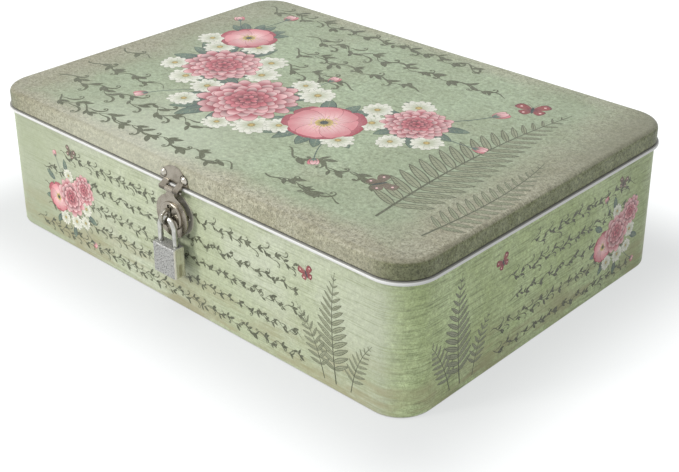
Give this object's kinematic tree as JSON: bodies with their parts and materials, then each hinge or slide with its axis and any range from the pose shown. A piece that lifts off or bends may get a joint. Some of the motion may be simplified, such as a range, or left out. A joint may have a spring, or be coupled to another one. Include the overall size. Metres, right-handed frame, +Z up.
{
  "type": "tin storage box",
  "caption": "Rectangular tinplate box with rounded corners, rolled bead, hinged lid, front hasp and a small padlock.",
  "frame": {"origin": "middle of the box body on the surface it stands on", "axes": "+X along the long front, from left to right seen from the front; -Y out of the front; +Z up"},
  "size_m": [0.3296, 0.2481, 0.089],
  "materials": {
    "tin_printed_body": "satin print on tinplate, with a white bead",
    "tin_printed_lid": "satin print on tinplate",
    "tin_plain": "plain lacquered tinplate",
    "nickel": "nickel plated, polished",
    "steel": "drawn steel wire",
    "rivet": "nickel plated, polished",
    "lock_case": "fine blasted faces, bright edges",
    "chromed_steel": "polished chrome",
    "spring_steel": "spring wire",
    "brass": "machined"
  },
  "bodies": {
    "box": {"body_shell": "tin_printed_body", "base_plate": "tin_plain", "hinge_left_body_leaf": "nickel", "hinge_left_pin": "steel", "hinge_right_body_leaf": "nickel", "hinge_right_pin": "steel", "hinge_body_rivets": "rivet", "staple_plate": "nickel", "staple_eye": "nickel", "staple_rivets": "rivet"},
    "lid": {"lid_shell": "tin_printed_lid", "hinge_left_lid_leaf": "nickel", "hinge_right_lid_leaf": "nickel", "hinge_lid_rivets": "rivet", "hasp_lid_plate": "nickel", "hasp_lid_rivets": "rivet", "hasp_pin": "steel"},
    "strap": {"hasp_strap": "nickel"},
    "shackle": {"padlock_shackle": "chromed_steel"},
    "lock_case": {"padlock_case": "lock_case", "padlock_keeper_pin": "steel", "padlock_shackle_spring": "spring_steel", "padlock_driver_pins": "brass", "padlock_pin_springs": "spring_steel", "padlock_pin_cover": "brass", "padlock_latch_spring": "spring_steel"},
    "lock_plug": {"padlock_plug": "brass", "padlock_key_pins": "brass"},
    "lock_latch": {"padlock_latch": "brass"}
  },
  "joints": [
    {"name": "lid_hinge", "type": "hinge", "parent": "box", "child": "lid", "pos_m": [0, 0.1189, 0.0772], "axis": [-1, 0, 0], "range_deg": [0, 105]},
    {"name": "padlock_take_off", "type": "slide", "parent": "box", "child": "shackle", "axis": [0, -1, 0], "range_m": [0, 0.1]},
    {"name": "hasp_strap_swing", "type": "hinge", "parent": "lid", "child": "strap", "pos_m": [0.002, -0.1189, 0.0762], "axis": [-1, 0, 0], "range_deg": [0, 180]},
    {"name": "padlock_case_drop", "type": "slide", "parent": "shackle", "child": "lock_case", "axis": [0, 0, -1], "range_m": [0, 0.0046]},
    {"name": "padlock_plug_turn", "type": "hinge", "parent": "lock_case", "child": "lock_plug", "pos_m": [0.002, -0.1227, 0.036], "axis": [0, 0, 1], "range_deg": [0, 90]},
    {"name": "padlock_latch_slide", "type": "slide", "parent": "lock_case", "child": "lock_latch", "axis": [-1, 0, 0], "range_m": [0, 0.0023], "deforming": ["padlock_latch_spring"]}
  ],
  "couplings": [
    {"joint": "hasp_strap_swing", "follows": "padlock_take_off", "rad_per_m": 31.41},
    {"joint": "padlock_plug_turn", "follows": "padlock_case_drop", "rad_per_m": 341.4},
    {"joint": "padlock_latch_slide", "follows": "padlock_case_drop", "ratio": 0.5}
  ]
}
